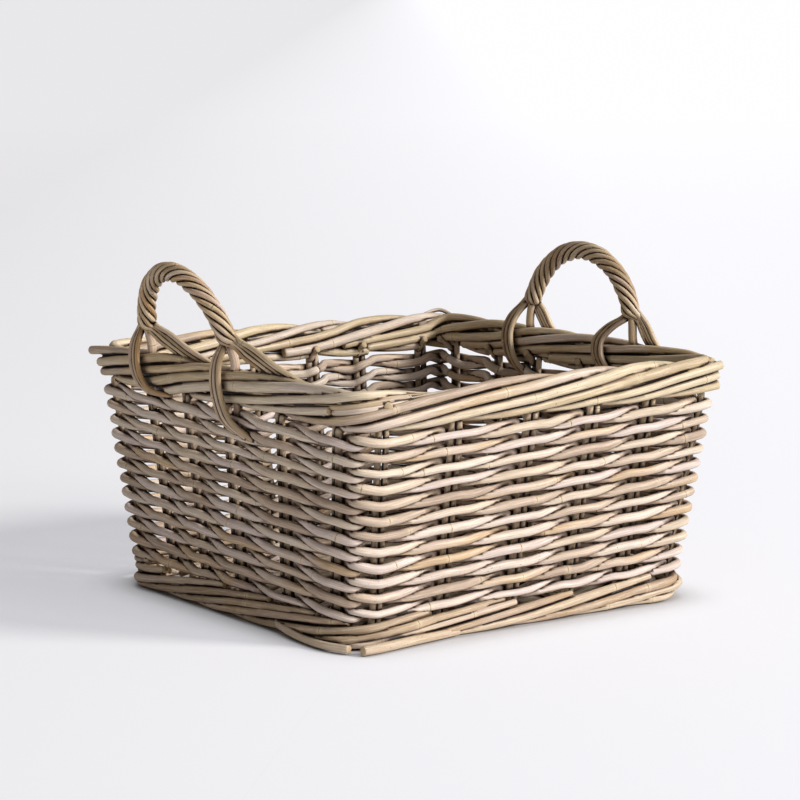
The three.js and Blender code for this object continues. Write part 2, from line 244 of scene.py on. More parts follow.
class RodBundle:
    """Collects rods and turns them into one mesh, with what the materials need stored on its points.

    rod_space is a place in the rod's own pattern, rod_look its tone, tint and age, and rod_marks holds the
    distance to the nearest node, whether the point is on a cut end, and how closed in it is for the painted
    shade.
    """

    def __init__(self):
        self.points, self.faces, self.space, self.look, self.marks = [], [], [], [], []
        self.count = 0

    def add(self, centre, radius, node_spacing=NODE_SPACING):
        """Adds a rod along a path, with its thickness, nodes and two cut ends."""
        look = rod_look()
        centre, travel, nodes = stations(np.asarray(centre, float), node_spacing)
        distance = np.abs(travel[:, None] - nodes[None]).min(1)
        radii = rod_radii(travel, radius, distance)
        tangents = np.gradient(centre, axis=0)
        tangents /= np.linalg.norm(tangents, axis=1)[:, None]
        sides = carried_normals(tangents)
        lifts = np.cross(tangents, sides)
        angles = np.arange(ROD_SIDES) * 2 * math.pi / ROD_SIDES
        cosines, sines = np.cos(angles), np.sin(angles)
        around = cosines[None, :, None] * sides[:, None] + sines[None, :, None] * lifts[:, None]
        rings = centre[:, None] + around * radii[:, None, None]
        shift = rng.random() * PATTERN_SPREAD
        space = np.empty(rings.shape)
        space[..., 0] = travel[:, None] + shift
        space[..., 1] = cosines[None] * radius
        space[..., 2] = sines[None] * radius
        marks = np.zeros(rings.shape)
        marks[..., 0] = distance[:, None]
        self._tube(rings, space, marks, look)
        self._cap(rings[0], centre[0], -tangents[0], space[0], look, flip=True)
        self._cap(rings[-1], centre[-1], tangents[-1], space[-1], look, flip=False)

    def _tube(self, rings, space, marks, look):
        ring_count = len(rings)
        self.tube_start = self.count
        self._push(rings.reshape(-1, 3), space.reshape(-1, 3), marks.reshape(-1, 3), look)
        row = np.arange(ring_count - 1)[:, None] * ROD_SIDES + self.tube_start
        side = np.arange(ROD_SIDES)[None]
        ahead = (side + 1) % ROD_SIDES
        quads = np.stack([row + side, row + ahead, row + ROD_SIDES + ahead, row + ROD_SIDES + side], -1)
        self.faces.extend(quads.reshape(-1, 4).tolist())
        self.tube_end = self.tube_start + (ring_count - 1) * ROD_SIDES

    def _cap(self, ring, centre, outward, space, look, flip):
        start = self.count
        rim = centre + (ring - centre) * CUT_RIM_SHARE + outward * CUT_RIM_RISE
        middle = centre + outward * CUT_MIDDLE_RISE
        marks = np.zeros((ROD_SIDES + 1, 3))
        marks[:, 0] = FAR_FROM_NODES
        marks[:, 1] = 1.0
        middle_space = space.mean(0)[None] * [1, 0, 0]
        self._push(np.vstack([rim, middle]), np.vstack([space, middle_space]), marks, look)
        base = self.tube_start if flip else self.tube_end
        for side in range(ROD_SIDES):
            ahead = (side + 1) % ROD_SIDES
            quad = [base + side, base + ahead, start + ahead, start + side]
            fan = [start + side, start + ahead, start + ROD_SIDES]
            self.faces.append(quad[::-1] if flip else quad)
            self.faces.append(fan[::-1] if flip else fan)

    def _push(self, points, space, marks, look):
        self.points.append(points)
        self.space.append(space)
        self.marks.append(marks)
        self.look.append(np.tile(look, (len(points), 1)))
        self.count += len(points)

    def build(self, name, material):
        mesh = bpy.data.meshes.new(name)
        points = np.concatenate(self.points)
        mesh.from_pydata(points.tolist(), [], self.faces)
        layers = ("rod_space", self.space), ("rod_look", self.look), ("rod_marks", self.marks)
        for attribute, values in layers:
            layer = mesh.attributes.new(attribute, "FLOAT_VECTOR", "POINT")
            layer.data.foreach_set("vector", np.concatenate(values).astype(np.float32).ravel())
        mesh.polygons.foreach_set("use_smooth", [True] * len(mesh.polygons))
        mesh.materials.append(material)
        BUILT.append((mesh, points, self.faces))
        return placed(name, mesh)


def placed(name, data):
    """A new object in the scene."""
    item = bpy.data.objects.new(name, data)
    bpy.context.scene.collection.objects.link(item)
    return item


def rod_look():
    """Tone, tint and age of one rod, each from 0 to 1."""
    return (rng.random(), rng.random(), rng.random())


def node_places(length, spacing):
    places = [rng.uniform(0, spacing[1])]
    while places[-1] < length:
        places.append(places[-1] + rng.uniform(*spacing))
    return np.array(places)


def stations(centre, spacing):
    """Centre points with one more at each node, how far along they lie, and where the nodes are."""
    gaps = np.linalg.norm(np.diff(centre, axis=0), axis=1)
    centre = centre[np.concatenate([[True], gaps > SAME_POINT])]
    travel = np.concatenate([[0], np.cumsum(np.linalg.norm(np.diff(centre, axis=0), axis=1))])
    nodes = node_places(travel[-1], spacing)
    inner = [n for n in nodes if n < travel[-1] and np.abs(travel - n).min() > NODE_CLEAR]
    places = np.sort(np.concatenate([travel, inner]))
    return np.stack([np.interp(places, travel, centre[:, k]) for k in range(3)], 1), places, nodes


LONG_WAVE_SHARE, LONG_WAVE_RATES = 0.025, (18, 30)
SHORT_WAVE_SHARE, SHORT_WAVE_RATES = 0.015, (50, 80)
NODE_BULGE_SHARE, NODE_BULGE_REACH = 0.05, 3.5 * MM
PHASES = (0, 6)


def rod_radii(travel, radius, distance):
    """Radius at each station: a thickness of the rod's own, two slow waves and a bulge at each node."""
    thick = radius * (1 + RADIUS_SPREAD_SHARE * rng.uniform(-1, 1))
    wave = LONG_WAVE_SHARE * np.sin(travel * rng.uniform(*LONG_WAVE_RATES) + rng.uniform(*PHASES))
    wave += SHORT_WAVE_SHARE * np.sin(travel * rng.uniform(*SHORT_WAVE_RATES) + rng.uniform(*PHASES))
    bulge = NODE_BULGE_SHARE * np.exp(-(distance / NODE_BULGE_REACH) ** 2)
    return thick * (1 + wave + bulge)


def carried_normals(tangents):
    """Side directions carried along the curve without twisting."""
    normal = unit(np.cross(tangents[0], START_WAY))
    normals = []
    for tangent in tangents:
        normal = unit(normal - tangent * normal.dot(tangent))
        normals.append(normal)
    return np.array(normals)


# Hollows: how closely the rods around a point close it in, which the materials darken as painted shade
HOLLOW_REACH = 13 * MM
RAY_START = 0.35 * MM
RAY_TILT = math.radians(50)
RAY_RING = 6
RING_WAY = [0.31, 0.17, 0.93]


def rays_from(normals):
    """Directions that each point looks in: straight out, and a ring of tilted ones."""
    side = np.cross(normals, RING_WAY)
    side /= np.linalg.norm(side, axis=1)[:, None]
    lift = np.cross(normals, side)
    turns = [2 * math.pi * step / RAY_RING for step in range(RAY_RING)]
    ring = [math.cos(turn) * side + math.sin(turn) * lift for turn in turns]
    return [normals] + [math.cos(RAY_TILT) * normals + math.sin(RAY_TILT) * way for way in ring]


def mark_painted_shade():
    """Stores on every point how much its rays are stopped by rods close by, from 0 to 1."""
    corners, faces = [], []
    for _, points, polygons in BUILT:
        first = len(corners)
        faces.extend([first + corner for corner in polygon] for polygon in polygons)
        corners.extend(points.tolist())
    tree = BVHTree.FromPolygons(corners, faces)
    for mesh, points, _ in BUILT:
        normals = np.empty(points.size, np.float32)
        mesh.vertices.foreach_get("normal", normals)
        normals = normals.reshape(-1, 3).astype(float)
        starts = (points + normals * RAY_START).tolist()
        rays = rays_from(normals)
        closed = np.zeros(len(points))
        for ray in rays:
            gaps = [tree.ray_cast(start, way, HOLLOW_REACH)[3] for start, way in zip(starts, ray.tolist())]
            closed += [0 if gap is None else 1 - gap / HOLLOW_REACH for gap in gaps]
        layer = mesh.attributes["rod_marks"].data
        marks = np.empty(points.size, np.float32)
        layer.foreach_get("vector", marks)
        # This value is the mask for the painted shade in the rattan materials.
        marks[2::3] = closed / len(rays)
        layer.foreach_set("vector", marks)


# Colours
def linear(text):
    """A colour written as a hex string, in Blender's linear values."""
    channels = [int(text[i:i + 2], 16) / 255 for i in (1, 3, 5)]
    return [c / 12.92 if c <= 0.04045 else ((c + 0.055) / 1.055) ** 2.4 for c in channels] + [1]


class Nodes:
    """Short calls for building a node tree."""

    def __init__(self, tree):
        self.tree = tree

    def new(self, kind, inputs=None, **settings):
        node = self.tree.nodes.new(kind)
        for key, value in settings.items():
            setattr(node, key, value)
        for key, value in (inputs or {}).items():
            self.put(node.inputs[key], value)
        return node

    def put(self, socket, value):
        """Gives a socket a link, a number or a colour written as a hex string."""
        if isinstance(value, bpy.types.NodeSocket):
            self.tree.links.new(value, socket)
        else:
            socket.default_value = linear(value) if isinstance(value, str) else value

    def math(self, operation, a, b, clamp=False):
        node = self.new("ShaderNodeMath", operation=operation, use_clamp=clamp)
        self.put(node.inputs[0], a)
        self.put(node.inputs[1], b)
        return node.outputs[0]

    def times(self, a, b):
        return self.math("MULTIPLY", a, b)

    def mix(self, factor, a, b, blend="MIX"):
        node = self.new("ShaderNodeMix", data_type="RGBA", blend_type=blend)
        self.put(node.inputs["Factor"], factor)
        self.put(node.inputs[6], a)
        self.put(node.inputs[7], b)
        return node.outputs[2]

    def span(self, value, low, high, to_low=0.0, to_high=1.0):
        node = self.new("ShaderNodeMapRange", clamp=True)
        for socket, number in zip(node.inputs, (value, low, high, to_low, to_high)):
            self.put(socket, number)
        return node.outputs[0]

    def noise(self, space, along, across, detail, roughness=0.55):
        """Noise with its own scale along the rod and across it."""
        scaled = self.new("ShaderNodeVectorMath", operation="MULTIPLY")
        self.put(scaled.inputs[0], space)
        scaled.inputs[1].default_value = (along, across, across)
        inputs = {"Vector": scaled.outputs[0], "Scale": 1.0, "Detail": detail, "Roughness": roughness}
        return self.new("ShaderNodeTexNoise", inputs).outputs["Fac"]

    def ramp(self, factor, stops):
        node = self.new("ShaderNodeValToRGB")
        ramp = node.color_ramp
        while len(ramp.elements) < len(stops):
            ramp.elements.new(0.5)
        for element, (place, colour) in zip(ramp.elements, stops):
            element.position = place
            element.color = linear(colour)
        self.put(node.inputs[0], factor)
        return node.outputs[0]


def fibres(make, space):
    """Coarse and fine fibres along the rod, from 0 to 1."""
    coarse = make.noise(space, 24, 850, 4.0, 0.7)
    fine = make.noise(space, 90, 3800, 2.0, 0.6)
    return make.math("ADD", make.times(coarse, 0.7), make.times(fine, 0.3))


def weathered(make, colour, space, patch, tint, age, speckle):
    """Worn patches on older rods, brown stains on some rods and dark specks."""
    worn = make.times(make.span(patch, 0.52, 0.72), make.span(age, 0.2, 1.0, 0.1, 0.5))
    colour = make.mix(worn, colour, "#c9b9ae")
    stain = make.noise(space, 45, 260, 4.0, 0.7)
    stained = make.times(make.span(stain, 0.60, 0.78), make.span(tint, 0.55, 1.0, 0.0, 0.75))
    colour = make.mix(stained, colour, "#7a5a3a")
    specks = make.noise(space, 420, 620, 2.0)
    spotted = make.span(age, 0.45, 0.95, 0.0, speckle)
    speckled = make.times(make.span(specks, 0.66, 0.74), spotted)
    return make.mix(speckled, colour, "#3b2a1c")


def with_nodes(make, colour, space, node_gap):
    """A thin wavering dark ring at each node, with a pale collar round it."""
    wobble = make.span(make.noise(space, 0, 330, 1.0), 0.3, 0.7, -0.2 * MM, 0.2 * MM)
    edge = make.span(make.math("ADD", node_gap, wobble), 0.15 * MM, 0.7 * MM)
    ring = make.math("SUBTRACT", 1.0, edge)
    collar = make.math("SUBTRACT", 1.0, make.span(node_gap, 1.0 * MM, 5.0 * MM))
    colour = make.mix(make.times(collar, 0.35), colour, "#d8c7a6")
    colour = make.mix(make.times(ring, 0.7), colour, "#59432e")
    return colour, ring, collar


def with_painted_shade_and_cuts(make, colour, space, shade_mask, cut):
    """Painted shade, brown to near black, where the rods close in, and pithy cut ends."""
    # Painted shade: the colour is multiplied brown, then near black, the more closely the rods close a
    # point in.
    colour = make.mix(make.span(shade_mask, 0.04, 0.4, 0.0, 0.6), colour, "#b08a66", "MULTIPLY")
    colour = make.mix(make.span(shade_mask, 0.13, 0.48, 0.0, 0.98), colour, "#2b1d12", "MULTIPLY")
    pith = make.noise(space, 0, 2600, 2.0)
    end_colour = make.ramp(make.span(pith, 0.35, 0.65), [(0.0, "#8f7556"), (1.0, "#cbb692")])
    return make.mix(make.span(cut, 0.55, 0.9), colour, end_colour)


def rattan(name, palette, speckle, roughness=0.6):
    """Weathered rattan: tone by rod, fibres along it, thin dark nodes, specks, painted shade where rods
    close in, and pale cut ends.
    """
    material = bpy.data.materials.new(name)
    material.use_nodes = True
    tree = material.node_tree
    tree.nodes.clear()
    make = Nodes(tree)
    names = ("rod_space", "rod_look", "rod_marks")
    layers = [make.new("ShaderNodeAttribute", attribute_name=stored) for stored in names]
    space, look, marks = [layer.outputs["Vector"] for layer in layers]
    tone, tint, age = make.new("ShaderNodeSeparateXYZ", {"Vector": look}).outputs
    node_gap, cut, shade_mask = make.new("ShaderNodeSeparateXYZ", {"Vector": marks}).outputs

    drift = make.noise(space, 9, 60, 2.0)
    place = make.math("ADD", tone, make.span(drift, 0.3, 0.7, -0.12, 0.12), clamp=True)
    colour = make.ramp(place, palette)
    streak = fibres(make, space)
    colour = make.mix(make.span(streak, 0.36, 0.62, 0.42, 0.0), colour, "#4a3a2b", "MULTIPLY")
    colour = make.mix(make.span(streak, 0.52, 0.72, 0.0, 0.5), colour, "#f3e8d9")
    patch = make.noise(space, 26, 130, 3.0)
    colour = weathered(make, colour, space, patch, tint, age, speckle)
    colour, ring, collar = with_nodes(make, colour, space, node_gap)
    colour = with_painted_shade_and_cuts(make, colour, space, shade_mask, cut)

    height = make.math("ADD", make.times(streak, 0.22), make.times(patch, 0.25))
    height = make.math("SUBTRACT", height, make.times(ring, 0.5))
    height = make.math("ADD", height, make.times(collar, 0.25))
    bump = make.new("ShaderNodeBump", {"Height": height, "Strength": 0.6, "Distance": 0.6 * MM})
    shader = make.new("ShaderNodeBsdfPrincipled", {"Base Color": colour, "Normal": bump.outputs[0]})
    make.put(shader.inputs["Roughness"], make.span(streak, 0.3, 0.7, roughness + 0.12, roughness - 0.1))
    shader.inputs["Specular IOR Level"].default_value = 0.42
    output = make.new("ShaderNodeOutputMaterial")
    tree.links.new(shader.outputs[0], output.inputs[0])
    return material


WALL_PALETTE = [
    (0.00, "#bba592"), (0.14, "#cbb6a2"), (0.32, "#dccab3"), (0.50, "#e3d3c4"),
    (0.66, "#dccbc4"), (0.82, "#d4c0ad"), (0.93, "#cfb28c"), (1.00, "#bfa9a0"),
]
STAKE_PALETTE = [(0.0, "#b8a388"), (0.4, "#cdb99c"), (0.7, "#d8c6ab"), (1.0, "#c3ad94")]
BORDER_PALETTE = [
    (0.00, "#bfa888"), (0.25, "#d9c6a2"), (0.50, "#decdb0"), (0.72, "#d8c7b9"),
    (0.88, "#cfb58c"), (1.00, "#b8a28e"),
]
FOOT_PALETTE = [(0.0, "#ab957b"), (0.3, "#c0a88b"), (0.6, "#d0bca3"), (0.8, "#c6b0a3"), (1.0, "#b79c7c")]
HANDLE_PALETTE = [(0.0, "#ab8f6c"), (0.35, "#c4aa85"), (0.6, "#d2bc9b"), (0.8, "#c3ab98"), (1.0, "#b48e5f")]

wall_material = rattan("rattan_wall", WALL_PALETTE, 0.8)
stake_material = rattan("rattan_stake", STAKE_PALETTE, 0.5)
border_material = rattan("rattan_border", BORDER_PALETTE, 0.7, roughness=0.55)
foot_material = rattan("rattan_foot", FOOT_PALETTE, 0.8)
handle_material = rattan("rattan_handle", HANDLE_PALETTE, 0.5, roughness=0.5)


def settle(piece, slot, *nodes):
    """Hides the nodes that a piece stands for and attaches the piece to the root body."""
    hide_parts(*nodes)
    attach(piece, "root")


# Walls: rows of two rods. Between stakes a rod goes in over the top of the other and comes out below it.
# Points are (share of the interval, millimetres up, millimetres out), in the direction in which seams rise.
OUT_TO_IN = [(0.24, 0.7, 7.2), (0.52, 3.3, 2.2), (0.8, 4.5, -3.6)]
IN_TO_OUT = [(0.18, -4.7, -3.8), (0.46, -4.1, 2.6), (0.76, -0.9, 7.6)]
OUTSIDE_TILT = 0.15 * MM
BEHIND_TILT = 1.7 * MM

# Random moves in millimetres, and where a rod is spliced, counted in stake pairs
DEPTH_SPREAD = 0.5
LIFT_SPREAD = 0.8
UP_SPREAD = 0.5
SPLICE_STRIDES = (3, 4, 5)
LAST_SPLICE_GAP = 5


def between_stakes(outside, forward):
    """Steps from a stake pair to the next, for a rod that starts outside or inside it."""
    steps = OUT_TO_IN if outside == forward else IN_TO_OUT
    if forward:
        return steps
    return [(1 - share, up, out) for share, up, out in reversed(steps)]


def weaver_controls(row, starts_outside):
    """Control points round the basket, with the index of the first one at each stake pair."""
    height = ROW_HEIGHTS[row]
    controls = []
    starts = []
    for index, place in enumerate(STAKE_PLACES):
        outside = (index % 2 == 0) == starts_outside
        corner = place == round(place)
        depth = WEAVER_DEPTH * (1 if outside else -1) + scatter(DEPTH_SPREAD)
        wall = int(place) % 4
        forward = wall % 2 == 0
        lift = scatter(LIFT_SPREAD)
        half = (half_x, half_y)[wall % 2](height)
        grip = (CORNER_GRIP if corner else STAKE_GRIP) / (2 * half)
        tilt = (OUTSIDE_TILT if outside else -BEHIND_TILT) * (1 if forward else -1)
        starts.append(len(controls))
        for share in (-1, 0, 1) if corner else (-1, 1):
            controls.append(wall_point(place + share * grip, height + lift + share * tilt, depth))
        following = STAKE_PLACES[(index + 1) % STAKE_COUNT]
        unrolled = following + 4 if following < place else following
        if math.floor(unrolled) != math.floor(place) and following != round(following):
            rise = ROW_PITCH / 4 * (1 if outside == forward else -1)
            controls.append(wall_point(math.floor(unrolled), height + rise, CORNER_DEPTH))
            continue
        for share, up, out in between_stakes(outside, forward):
            up += rng.uniform(-UP_SPREAD, UP_SPREAD)
            controls.append(wall_point(place + (unrolled - place) * share, height + up * MM, out * MM))
    return controls, starts


def splice_indices(starts_outside):
    """Stake pairs behind which one rod ends and the next begins."""
    inside = [i for i in range(STAKE_COUNT) if (i % 2 == 0) != starts_outside]
    first = rng.choice(inside)
    picks = [first]
    while True:
        following = picks[-1] + 2 * rng.choice(SPLICE_STRIDES)
        if following > first + STAKE_COUNT - LAST_SPLICE_GAP:
            break
        picks.append(following)
    return [pick % STAKE_COUNT for pick in picks]


def spliced_rod(controls, begin, until):
    """Points of one rod, which starts and ends in the middle of a step beside a splice."""
    run = [controls[i % len(controls)] for i in range(begin - 1, until + 1)]
    first = (run[0] + run[1]) / 2 + unit(run[1] - run[0]) * MM
    last = (run[-1] + run[-2]) / 2 - unit(run[-1] - run[-2]) * MM
    return [first] + run[1:-1] + [last]


def build_walls():
    for row in range(ROW_COUNT):
        bundle = RodBundle()
        for starts_outside in (True, False):
            controls, starts = weaver_controls(row, starts_outside)
            splices = sorted(splice_indices(starts_outside))
            for number, splice in enumerate(splices):
                begin = starts[splice] + 1
                until = starts[splices[(number + 1) % len(splices)]] + 1
                if until <= begin:
                    until += len(controls)
                bundle.add(smooth_path(spliced_rod(controls, begin, until)), WEAVER_RADIUS)
        piece = bundle.build(f"weave_row_{row + 1:02d}", wall_material)
        settle(piece, "wall_rods", f"weaver_{row + 1:02d}_a", f"weaver_{row + 1:02d}_b")


# Stakes: the two rods of a pair stand side by side, and one of them ends in a cut stub inside the border.
# STUB and HEAD are heights and outward offsets of points at the top of the two rods.
# TOP_SWAY and MIDDLE_BOW are random moves in millimetres.
FLOOR_INSET = 11 * MM
FLOOR_LEAD = 6 * MM
CAD_STAKE_HALF = 4 * MM
LOWER_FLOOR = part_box("stake_front_back_1")[0].z + CAD_STAKE_HALF
UPPER_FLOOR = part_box("stake_left_right_1")[0].z + CAD_STAKE_HALF
STUB = [(BORDER_LOW - 2 * MM, -2 * MM), (BORDER_LOW + 6 * MM, -8 * MM), (BORDER_LOW + 11 * MM, -17 * MM)]
HEAD = [(BORDER_LOW, 0), (BORDER_MIDDLE - 3 * MM, 0)]
TOP_SWAY = 3
MIDDLE_BOW = 0.5
CORNER_WALL_LENGTH = 0.44
CORNER_FOOT = (16 * MM, 5 * MM)
CORNER_RISE = 8 * MM


def beside(place, slide):
    """A place moved along its wall by a length."""
    half = (half_x, half_y)[int(place) % 4 % 2](STAKE_TOP)
    return place + slide / (2 * half)


def stake_top(place, slide, stub):
    """Points of a rod inside the border, which sways to one side."""
    sway = scatter(TOP_SWAY)
    points = []
    for number, (height, offset) in enumerate(STUB if stub else HEAD):
        points.append(wall_point(beside(place, slide + sway * number), height, offset))
    return points


def stake_wall(place, slide, floor_height):
    """Points of a rod from the floor round the bend and up the wall."""
    bend = LOW_HEIGHT - LOWER_FLOOR
    middle = (floor_height + bend + STAKE_TOP) / 2
    steps = [(floor_height, -FLOOR_INSET - FLOOR_LEAD), (floor_height, -FLOOR_INSET)]
    steps += [(floor_height + bend / 4, -FLOOR_INSET / 4), (floor_height + bend, 0)]
    steps += [(middle, scatter(MIDDLE_BOW)), (STAKE_TOP, 0)]
    return [wall_point(beside(place, slide), height, offset) for height, offset in steps]


def build_stakes():
    bundle = RodBundle()
    spread = STAKE_RADIUS + STAKE_PAIR_GAP
    walls = ((0, BACK_LAST, LOWER_FLOOR), (RIGHT_FIRST, LEFT_LAST, UPPER_FLOOR))
    pairs = [(near + i, far - i, height) for near, far, height in walls for i in range(STAKES_PER_WALL)]
    for first, second, floor_height in pairs:
        near, far = STAKE_PLACES[first], STAKE_PLACES[second]
        for stub, slide in ((False, -spread), (True, spread)):
            path = stake_top(near, slide, stub)[::-1] + stake_wall(near, slide, floor_height)[::-1]
            path += stake_wall(far, -slide, floor_height) + stake_top(far, -slide, not stub)
            bundle.add(smooth_path(path), STAKE_RADIUS, STAKE_NODE_SPACING)
    for index in CORNERS:
        for stub, slide in ((False, -spread), (True, spread)):
            place = STAKE_PLACES[index] + slide / CORNER_WALL_LENGTH
            path = [wall_point(place, *CORNER_FOOT), wall_point(place, LOW_HEIGHT + CORNER_RISE, 0)]
            path += [wall_point(place, STAKE_TOP, 0)] + stake_top(place, 0, stub)
            bundle.add(smooth_path(path), STAKE_RADIUS, STAKE_NODE_SPACING)
    piece = bundle.build("stakes", stake_material)
    names = [f"stake_{way}_{i + 1}" for way in ("front_back", "left_right") for i in range(5)]
    settle(piece, "stakes", *names, "stake_corner_right", "stake_corner_left")


# Rolled border: a rod comes up from below, climbs the outer face, crosses the top and goes down inside.
# Times are stake intervals past the crossing, angles are degrees outwards from the top.
ROLL_TIMES = [-4.0, -3.0, -2.0, -1.0, -0.3, 0.0, 0.5, 1.0, 2.3, 3.3]
ROLL_ANGLES = [205, 141, 98, 53, 17, -8, -52, -80, -122, -150]
DEEPER = 6.5 * MM
ROLL_SLACK = 1.5 * MM
UNDERSIDE = 1.28
SHOULDER, SHOULDER_TIME, SHOULDER_WIDTH = 1.3 * MM, -0.55, 0.3
BORDER_CORNER_RADIUS = 26 * MM
BEND_STEP = 0.25

# Random moves of a rod: WANDER in millimetres, SWING in degrees and SINK in millimetres with rate and phase
WANDER = (0.6, 0.8)
SWING = ((2, 8), (0.9, 1.7), (0, 6.3))
SINK = ((0.3, 1.2), (1.2, 2.2), (0, 6.3))
REACH_SPREAD = (-0.4, 0.3)

# Layers: depth, shift in stake intervals, first and last time. One rod stops short of the near corner.
OUTER_LAYER = (0.0, 0.0, -4.0, 2.8)
INNER_LAYER = (DEEPER, 0.5, -3.4, 0.6)
SHORT_CROSSING, SHORT_END = 1, 21.2

# At a corner a rod on the outer face is cut in two. Reaches are millimetres past the corner.
OUTER_FACE = (-3.3, -0.4)
LEAST_BEND, BEND_STOP, CUT_LEAD, BEND_RESTART = 0.5, 0.3, 0.15, 0.45
LEAD_REACH = (-12, -8)
END_REACH = {RIGHT_CORNER: (-4, 5), LEFT_CORNER: (-4, 0)}
START_REACH = {RIGHT_CORNER: (-14, -11), LEFT_CORNER: (-9, 2)}
START_LEAD = 14 * MM
LONGEST_END = 13 * MM


class BorderRod:
    """One rod of the border. Its crossing is the stake index where it lies on the top."""

    def __init__(self, crossing, depth):
        self.crossing, self.depth = crossing, depth
        self.wander = [scatter(limit) for limit in WANDER]
        self.swing = [rng.uniform(*limits) for limits in SWING]
        self.sink = [rng.uniform(*limits) for limits in SINK]

    def section(self, travel):
        """Outward offset and height, travel intervals past the crossing."""
        turn, rate, phase = self.swing
        degrees = np.interp(travel, ROLL_TIMES, ROLL_ANGLES) + turn * math.sin(rate * travel + phase)
        angle = math.radians(degrees)
        sink, rate, phase = self.sink
        depth = self.depth + ROLL_SLACK + sink * MM * math.sin(rate * travel + phase)
        depth -= SHOULDER * math.exp(-((travel - SHOULDER_TIME) / SHOULDER_WIDTH) ** 2)
        offset = (BORDER_HALF_WIDTH - depth) * math.sin(angle) + self.wander[0]
        rise = (BORDER_HALF_HEIGHT - depth) * math.cos(angle) * (1 if math.cos(angle) > 0 else UNDERSIDE)
        return offset, BORDER_MIDDLE + rise + self.wander[1]

    def bend(self, start, stop):
        """Points of the rod from one travel to another, round any corner between."""
        points = []
        for travel in np.arange(start, stop, BEND_STEP):
            offset, height = self.section(travel)
            place = stake_place(self.crossing + travel)
            points.append(wall_point(place, height, offset, BORDER_CORNER_RADIUS))
        return points

    def end_point(self, wall, travel, beyond, far):
        """A point past the far end of a wall, or past its start, straight on from the border."""
        offset, height = self.section(travel)
        along = (half_x, half_y)[wall % 2](height) + beyond
        x, y = (along if far else -along) * WALL_ALONG[wall]
        x, y = np.array([x, y]) + ((half_y, half_x)[wall % 2](height) + offset) * WALL_OUT[wall]
        return np.array([CENTRE_X + x, y, height])

    def paths(self, start, stop):
        """The rod's path, cut in two at a corner where it lies on the outer face."""
        for corner, wall in CORNERS.items():
            at = corner - self.crossing
            if OUTER_FACE[0] < at < OUTER_FACE[1]:
                first = self.bend(start, at - BEND_STOP) if at - LEAST_BEND > start else []
                first.append(self.end_point(wall, at - CUT_LEAD, rng.uniform(*LEAD_REACH) * MM, True))
                first.append(self.end_point(wall, at, rng.uniform(*END_REACH[corner]) * MM, True))
                beyond = rng.uniform(*START_REACH[corner]) * MM
                if corner == LEFT_CORNER and at == -1:
                    beyond = LONGEST_END
                second = [self.end_point(wall + 1, at, beyond, False)]
                second.append(self.end_point(wall + 1, at + CUT_LEAD, beyond - START_LEAD, False))
                return [first, second + self.bend(at + BEND_RESTART, stop)]
        return [self.bend(start, stop)]


def build_border():
    bundle = RodBundle()
    for index in range(STAKE_COUNT):
        for depth, shift, start, stop in (OUTER_LAYER, INNER_LAYER):
            rod = BorderRod(index + shift, depth)
            reach = rng.uniform(*REACH_SPREAD)
            if index + shift == SHORT_CROSSING:
                stop = SHORT_END - STAKE_COUNT - SHORT_CROSSING - reach
            for path in rod.paths(start + reach, stop + reach):
                bundle.add(smooth_path(path), BORDER_RADIUS)
    for path, radius in loose_border_rods():
        bundle.add(smooth_path(path), radius)
    piece = bundle.build("rolled_border", border_material)
    settle(piece, "border_rods", *[f"border_rod_{i + 1}" for i in range(7)])


def loose_border_rods():
    """A cut end at the near corner, and a thin rod that peaks over the back corner."""
    near = [(0.085, 2, -9), (0.072, 2.5, 2), (0.062, 3, 10.5)]
    peak = [(2.075, 10, 2), (2.04, 16, 4), (2.0, 20.5, 6), (1.965, 16, 4), (1.93, 10, 2)]
    return [
        ([wall_point(place, BORDER_MIDDLE + up * MM, out * MM) for place, up, out in points], radius * MM)
        for points, radius in ((near, 5), (peak, 2.6))
    ]


# Foot border: a rod starts under the wall, touches the ground and climbs outside to a cut end.
# Points are (stake intervals, millimetres out, millimetres up).
FOOT_RUN = [
    (-0.7, 1, 11), (-0.3, 6, 6.3), (0.2, 12, 5.4), (0.7, 15.5, 6.6), (1.3, 17, 10.5),
    (2.0, 16.5, 16.5), (2.7, 14.5, 22), (3.2, 12, 25.5), (3.7, 7, 28),
]
FOOT_INNER = [(-0.5, -4, 9), (0, 2, 5.5), (0.5, 6, 5.5), (1, 8, 8.5), (1.5, 8, 14), (2.2, 7, 19)]
FOOT_WANDER = 0.5
FOOT_REACH = (0.9, 1.06)
SHORT_FOOT_SHARE = 0.3


def loose_foot_rods():
    """Two rods that come along the ground, one from each side, and end at the near corner."""
    along, out = half_x(0), half_y(0)
    long_end = [(-along + 118 * MM, out + 16 * MM, 6.5), (-along + 60 * MM, out + 24 * MM, 6.2),
                (-along + 14 * MM, out + 30 * MM, 5.8), (-along - 8 * MM, out + 31 * MM, 5.8)]
    left_end = [(-along - 8 * MM, out - 130 * MM, 13), (-along - 19 * MM, out - 95 * MM, 9),
                (-along - 24.5 * MM, out - 50 * MM, 6), (-along - 24 * MM, out - 10 * MM, 5.6),
                (-along - 15 * MM, out + 17 * MM, 5.6)]
    return [([np.array([CENTRE_X + x, -y, z * MM]) for x, y, z in points], radius * MM)
            for points, radius in ((long_end, 4.9), (left_end, 4.6))]


def build_foot():
    bundle = RodBundle()
    for index in range(STAKE_COUNT):
        for run, shift in ((FOOT_RUN, 0), (FOOT_INNER, 0.5)):
            wander = scatter(FOOT_WANDER)
            reach = rng.uniform(*FOOT_REACH)
            if rng.random() < SHORT_FOOT_SHARE:
                run = run[:-1]
            points = []
            for travel, offset, height in run:
                place = stake_place(index + shift + travel * reach)
                points.append(wall_point(place, height * MM, offset * MM + wander, BORDER_CORNER_RADIUS))
            bundle.add(smooth_path(points), FOOT_RADIUS)
    for path, radius in loose_foot_rods():
        bundle.add(smooth_path(path), radius)
    piece = bundle.build("foot_border", foot_material)
    settle(piece, "border_rods", *[f"foot_rod_{i + 1}" for i in range(3)])


